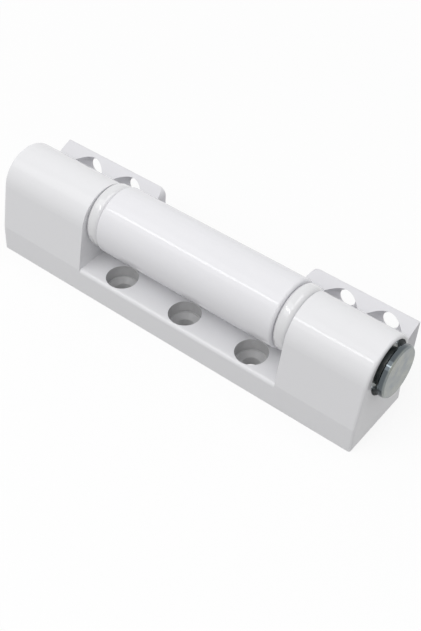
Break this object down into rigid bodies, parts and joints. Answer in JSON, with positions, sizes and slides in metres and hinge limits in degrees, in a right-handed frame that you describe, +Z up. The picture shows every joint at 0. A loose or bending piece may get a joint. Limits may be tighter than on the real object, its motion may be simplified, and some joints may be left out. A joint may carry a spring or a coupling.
{
  "type": "door hinge",
  "caption": "Heavy surface door hinge with a barrel leaf on a through pin between the end blocks of a base leaf, both with sunk screw holes.",
  "frame": {"origin": "middle of the base, on the surface it rests on", "axes": "+X along the pin towards its head, +Y from the front screw plate to the rear plate, +Z up from the base"},
  "size_m": [0.1445, 0.0348, 0.0347],
  "materials": {
    "block_coat": "gloss",
    "leaf_coat": "gloss",
    "bush_plastic": "gloss",
    "liner_plastic": "matt",
    "pin_steel": "zinc plated",
    "ring_steel": "satin",
    "clip_steel": "satin"
  },
  "bodies": {
    "blocks": {"block_leaf": "block_coat", "left_liner": "liner_plastic", "right_liner": "liner_plastic", "hinge_pin": "pin_steel", "pin_washer": "ring_steel", "retaining_clip": "clip_steel"},
    "barrel": {"barrel_leaf": "leaf_coat", "left_bush": "bush_plastic", "right_bush": "bush_plastic"}
  },
  "joints": [
    {"name": "leaf_turn", "type": "hinge", "parent": "blocks", "child": "barrel", "pos_m": [0, 0.0023, 0.0233], "axis": [1, 0, 0], "range_deg": [0, 180]}
  ]
}
